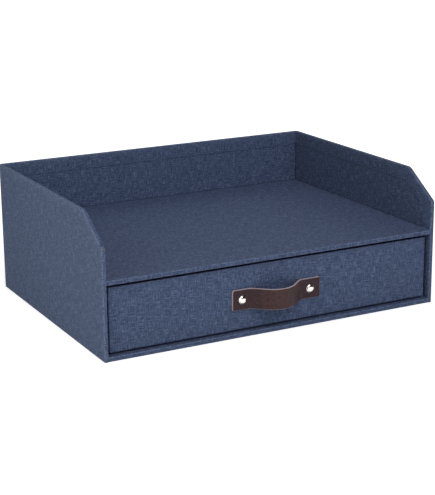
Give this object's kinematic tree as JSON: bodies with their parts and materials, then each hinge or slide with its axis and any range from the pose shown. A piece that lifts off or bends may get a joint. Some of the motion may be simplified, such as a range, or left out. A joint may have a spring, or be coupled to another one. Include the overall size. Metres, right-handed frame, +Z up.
{
  "type": "desk organizer",
  "caption": "Paper-covered desk organizer: an open tray with cut-off front corners above a full-width drawer with a leather strap pull.",
  "frame": {"origin": "centre of the whole footprint, the strap pull included, on the surface the box stands on", "axes": "+X to the right along the width, +Y from the drawer front to the back wall, +Z up"},
  "size_m": [0.33, 0.2564, 0.122],
  "materials": {
    "canvas_paper": "matte",
    "base_paper": "matte",
    "grey_board": "matte",
    "brown_leather": "satin",
    "nickel_plate": "polished"
  },
  "bodies": {
    "case": {"case_left_board": "grey_board", "case_right_board": "grey_board", "case_back_board": "grey_board", "case_base_board": "grey_board", "case_shelf_board": "grey_board", "case_outer_wrap": "canvas_paper", "case_base_wrap": "canvas_paper", "case_base_sheet": "base_paper", "shelf_cover": "canvas_paper", "tray_left_lining": "canvas_paper", "tray_right_lining": "canvas_paper", "tray_back_lining": "canvas_paper", "bay_left_lining": "canvas_paper", "bay_right_lining": "canvas_paper", "bay_back_lining": "canvas_paper", "bay_floor_lining": "canvas_paper", "bay_ceiling_lining": "canvas_paper"},
    "drawer": {"drawer_front_board": "grey_board", "drawer_back_board": "grey_board", "drawer_left_board": "grey_board", "drawer_right_board": "grey_board", "drawer_base_board": "grey_board", "drawer_outer_wrap": "canvas_paper", "drawer_base_sheet": "base_paper", "drawer_wall_lining": "canvas_paper", "drawer_floor_lining": "canvas_paper", "pull_strap": "brown_leather", "rivet_caps": "nickel_plate", "rivet_posts": "nickel_plate", "backing_washers": "nickel_plate"}
  },
  "joints": [
    {"name": "drawer_slide", "type": "slide", "parent": "case", "child": "drawer", "axis": [0, -1, 0], "range_m": [0, 0.22]}
  ]
}
